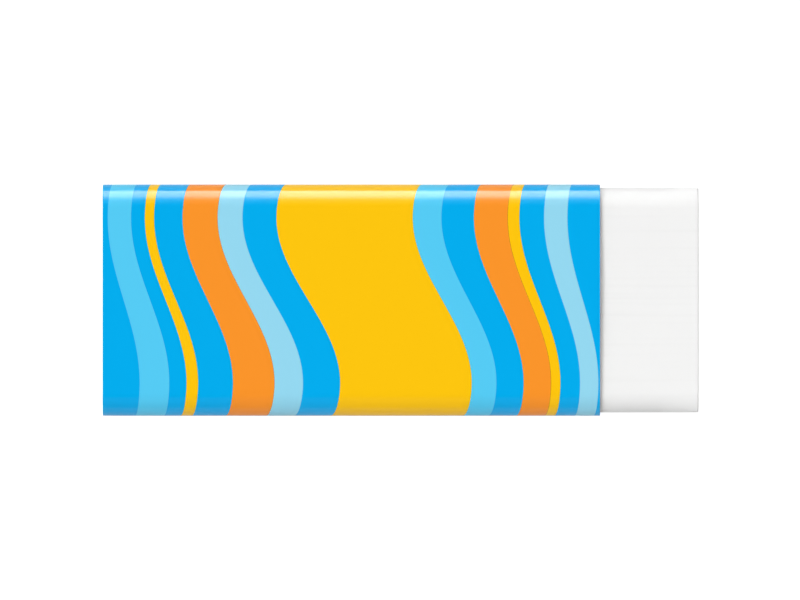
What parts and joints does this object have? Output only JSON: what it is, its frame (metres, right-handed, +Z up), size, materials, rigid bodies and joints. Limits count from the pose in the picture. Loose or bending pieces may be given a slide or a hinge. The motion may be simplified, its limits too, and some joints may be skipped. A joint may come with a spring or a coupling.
{
  "type": "rubber eraser",
  "caption": "White vinyl block eraser with rounded long edges, in a printed card sleeve that slides along it.",
  "frame": {"origin": "middle of the overall length and width, on the surface that the sleeve's underside rests on", "axes": "+X along the block, from its covered tail end to its bare working end; +Z up, out of the wide face; +Y across the width"},
  "size_m": [0.0624, 0.0242, 0.013],
  "materials": {
    "white_vinyl": "matte",
    "printed_card": "gloss"
  },
  "bodies": {
    "sleeve": {"card_sleeve": "printed_card"},
    "block": {"eraser_block": "white_vinyl"}
  },
  "joints": [
    {"name": "block_slide", "type": "slide", "parent": "sleeve", "child": "block", "axis": [1, 0, 0], "range_m": [-0.0626, 0.052]}
  ]
}
